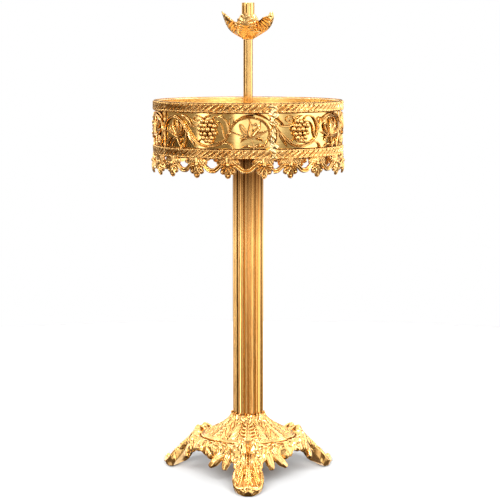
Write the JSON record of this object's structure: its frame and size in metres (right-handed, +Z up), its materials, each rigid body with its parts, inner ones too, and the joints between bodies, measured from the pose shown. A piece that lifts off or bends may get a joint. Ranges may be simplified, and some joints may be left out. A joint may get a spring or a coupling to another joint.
{
  "type": "altar candlestick",
  "caption": "Brass floor-standing sand candle stand: leafed tripod base, fluted column, round sand pan in a pierced vine gallery, and a thin stem with a leaf cup and candle socket.",
  "frame": {"origin": "on the column's axis, at floor level, between the three toes", "axes": "+Z up along the column to the candle socket, -Y towards the front leg, +X to the viewer's right"},
  "size_m": [0.3977, 0.407, 1],
  "materials": {
    "cast_brass": "polished casting",
    "tube_brass": "polished tube",
    "sheet_brass": "polished sheet",
    "steel": "plain threaded rod, nut and washer"
  },
  "bodies": {
    "root": {"tripod_base": "cast_brass", "base_dome": "cast_brass", "base_washer": "steel", "base_nut": "steel", "column_tube": "tube_brass", "column_plug_lower": "tube_brass", "column_plug_upper": "tube_brass", "tie_rod": "steel", "pan_flange": "cast_brass", "sand_pan": "sheet_brass", "pan_boss": "cast_brass", "gallery_panel_1": "cast_brass", "gallery_panel_2": "cast_brass", "gallery_panel_3": "cast_brass", "gallery_panel_4": "cast_brass", "gallery_panel_cut": "cast_brass", "stem_tube": "tube_brass", "leaf_cup": "cast_brass", "cup_spacer": "tube_brass", "socket_bell": "cast_brass", "socket_tube": "tube_brass"}
  },
  "joints": []
}
